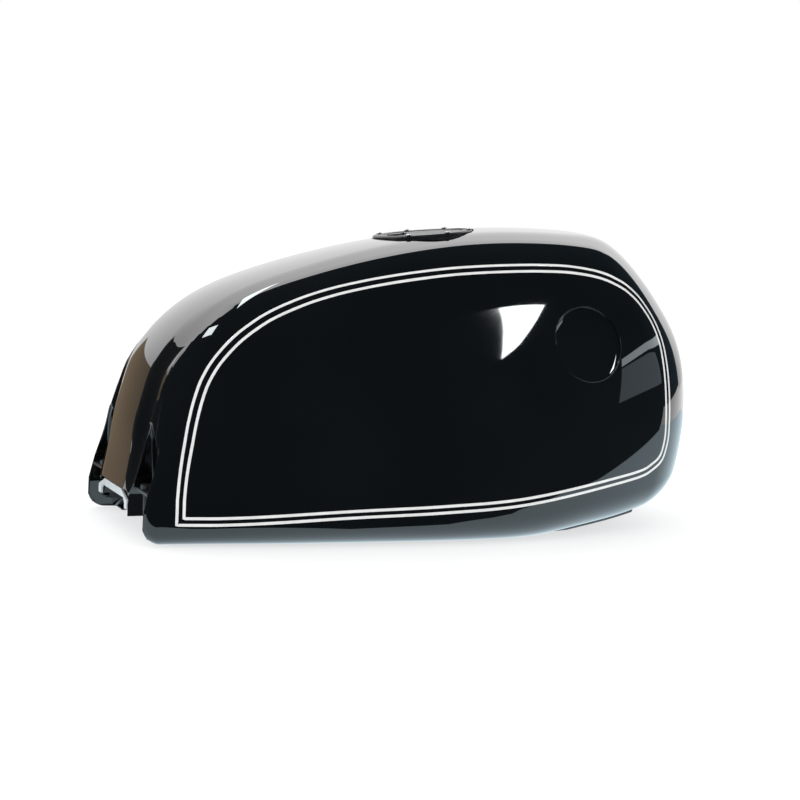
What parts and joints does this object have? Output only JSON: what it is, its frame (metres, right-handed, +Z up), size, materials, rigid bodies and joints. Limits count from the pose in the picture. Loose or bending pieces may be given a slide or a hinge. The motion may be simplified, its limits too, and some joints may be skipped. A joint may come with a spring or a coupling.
{
  "type": "motorcycle fuel tank",
  "caption": "Teardrop motorcycle fuel tank with a frame tunnel, round badge recesses, double pinstripes and a hinged lockable filler cap.",
  "frame": {"origin": "centre of the bounding box at its base, which is the plane of the lowest points of the two lobes", "axes": "+X towards the front of the motorcycle, +Y to its left, +Z up"},
  "size_m": [0.5875, 0.3052, 0.2907],
  "materials": {
    "black_paint": "deep gloss black lacquer",
    "underside_paint": "semi-gloss black",
    "black_anodised": "black satin anodised",
    "zinc_steel": "zinc plated",
    "lock_brass": "plain",
    "rubber": "matte"
  },
  "bodies": {
    "tank": {"outer_shell_left": "black_paint", "outer_shell_right": "black_paint", "tunnel_pan": "underside_paint", "tunnel_mouth_flange": "underside_paint", "mount_pocket_left": "black_paint", "mount_pocket_right": "black_paint", "rear_mount_bracket_left": "underside_paint", "rear_mount_bracket_right": "underside_paint", "rear_mount_stud_left": "zinc_steel", "rear_mount_stud_right": "zinc_steel", "front_skirt_left": "underside_paint", "front_skirt_right": "underside_paint", "front_mount_cup_left": "underside_paint", "front_mount_cup_right": "underside_paint", "fuel_tap_bung_left": "zinc_steel", "fuel_tap_bung_right": "zinc_steel", "filler_neck": "underside_paint", "drain_tube": "zinc_steel", "cap_ring": "black_anodised", "cap_ring_gasket": "rubber", "cap_screw_1": "zinc_steel", "cap_screw_2": "zinc_steel", "cap_screw_3": "zinc_steel", "cap_screw_4": "zinc_steel", "cap_screw_5": "zinc_steel", "cap_screw_6": "zinc_steel", "hinge_pin": "zinc_steel"},
    "lid": {"cap_lid": "black_anodised", "lid_seal": "rubber", "breather_valve": "lock_brass", "cover_rivet": "zinc_steel"},
    "lock": {"lock_cylinder": "lock_brass", "lock_cam": "zinc_steel"},
    "key_cover": {"keyhole_cover": "black_anodised"}
  },
  "joints": [
    {"name": "lid_hinge", "type": "hinge", "parent": "tank", "child": "lid", "pos_m": [0.05205, 0, 0.28401], "axis": [0, 1, 0], "range_deg": [0, 100]},
    {"name": "lock_turn", "type": "hinge", "parent": "lid", "child": "lock", "pos_m": [-0.02126, 0, 0.27791], "axis": [-0.1236, 0, 0.9923], "range_deg": [0, 90]},
    {"name": "cover_swing", "type": "hinge", "parent": "lid", "child": "key_cover", "pos_m": [-0.01084, 0, 0.2792], "axis": [-0.1236, 0, 0.9923], "range_deg": [0, 100]}
  ]
}
